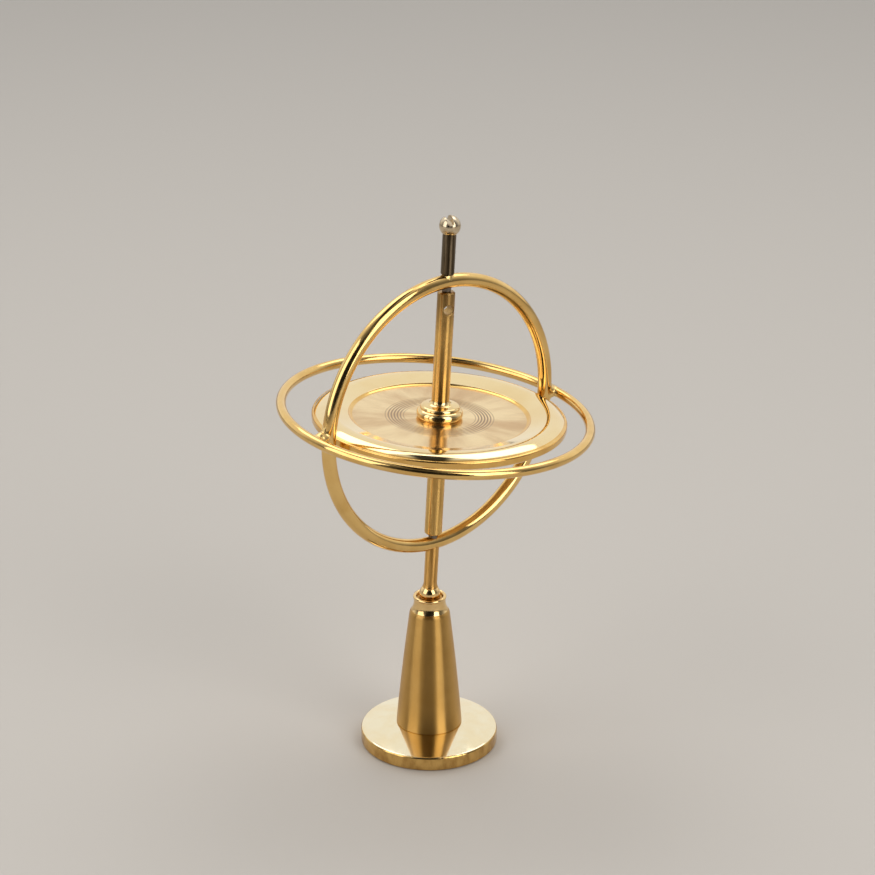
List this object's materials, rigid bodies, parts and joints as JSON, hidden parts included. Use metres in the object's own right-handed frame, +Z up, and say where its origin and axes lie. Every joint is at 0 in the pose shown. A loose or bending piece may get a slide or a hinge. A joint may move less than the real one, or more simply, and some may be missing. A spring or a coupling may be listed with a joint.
{
  "type": "gyroscope on stand",
  "caption": "Metal demonstration gyroscope: a disc flywheel on a spindle inside crossed wire rings, balanced by its ball foot in the cup of a small tapered pedestal.",
  "frame": {"origin": "centre of the base's flat underside", "axes": "+Z up along the pedestal; the cage's upright ring stands in the XZ plane and leans 3.33 degrees towards +X at rest"},
  "size_m": [0.0628, 0.0629, 0.1122],
  "materials": {
    "mirror_gold": "polished to a mirror, pale gold",
    "satin_gold": "fine-turned satin, yellow gold",
    "ring_gold": "polished drawn wire",
    "braze": "smooth braze, plated over",
    "post_bronze": "polished, darker bronze",
    "spindle_gold": "polished with fine turning marks",
    "champagne": "bright, pale champagne",
    "dark_steel": "plain ground steel"
  },
  "bodies": {
    "pedestal": {"base_disc": "mirror_gold", "pedestal_cone": "satin_gold", "base_stud": "dark_steel", "cup_collar": "mirror_gold"},
    "seat": {"cup_seat": "satin_gold"},
    "foot": {"ball_foot": "ring_gold"},
    "cage": {"lower_post": "post_bronze", "meridian_ring": "ring_gold", "equator_ring": "ring_gold", "ring_braze_joints": "braze", "post_braze_fillets": "braze", "upper_post": "post_bronze", "top_knob": "champagne", "upper_pivot_screw": "dark_steel", "lower_pivot_screw": "dark_steel"},
    "rotor": {"flywheel": "mirror_gold", "spindle": "spindle_gold", "upper_hub_collar": "mirror_gold", "lower_hub_collar": "mirror_gold", "upper_bearing_bush": "dark_steel", "lower_bearing_bush": "dark_steel"}
  },
  "joints": [
    {"name": "precession", "type": "hinge", "parent": "pedestal", "child": "seat", "pos_m": [0, 0, 0.0331], "axis": [0, 0, 1], "continuous": true},
    {"name": "lift_off", "type": "slide", "parent": "seat", "child": "foot", "axis": [0, 0, 1], "range_m": [0, 0.03]},
    {"name": "tilt", "type": "hinge", "parent": "foot", "child": "cage", "pos_m": [0, 0, 0.0331], "axis": [0, 1, 0], "range_deg": [-65, 58.5]},
    {"name": "rotor_spin", "type": "hinge", "parent": "cage", "child": "rotor", "pos_m": [0.00224, 0, 0.07154], "axis": [0.0581, 0, 0.9983], "continuous": true}
  ]
}
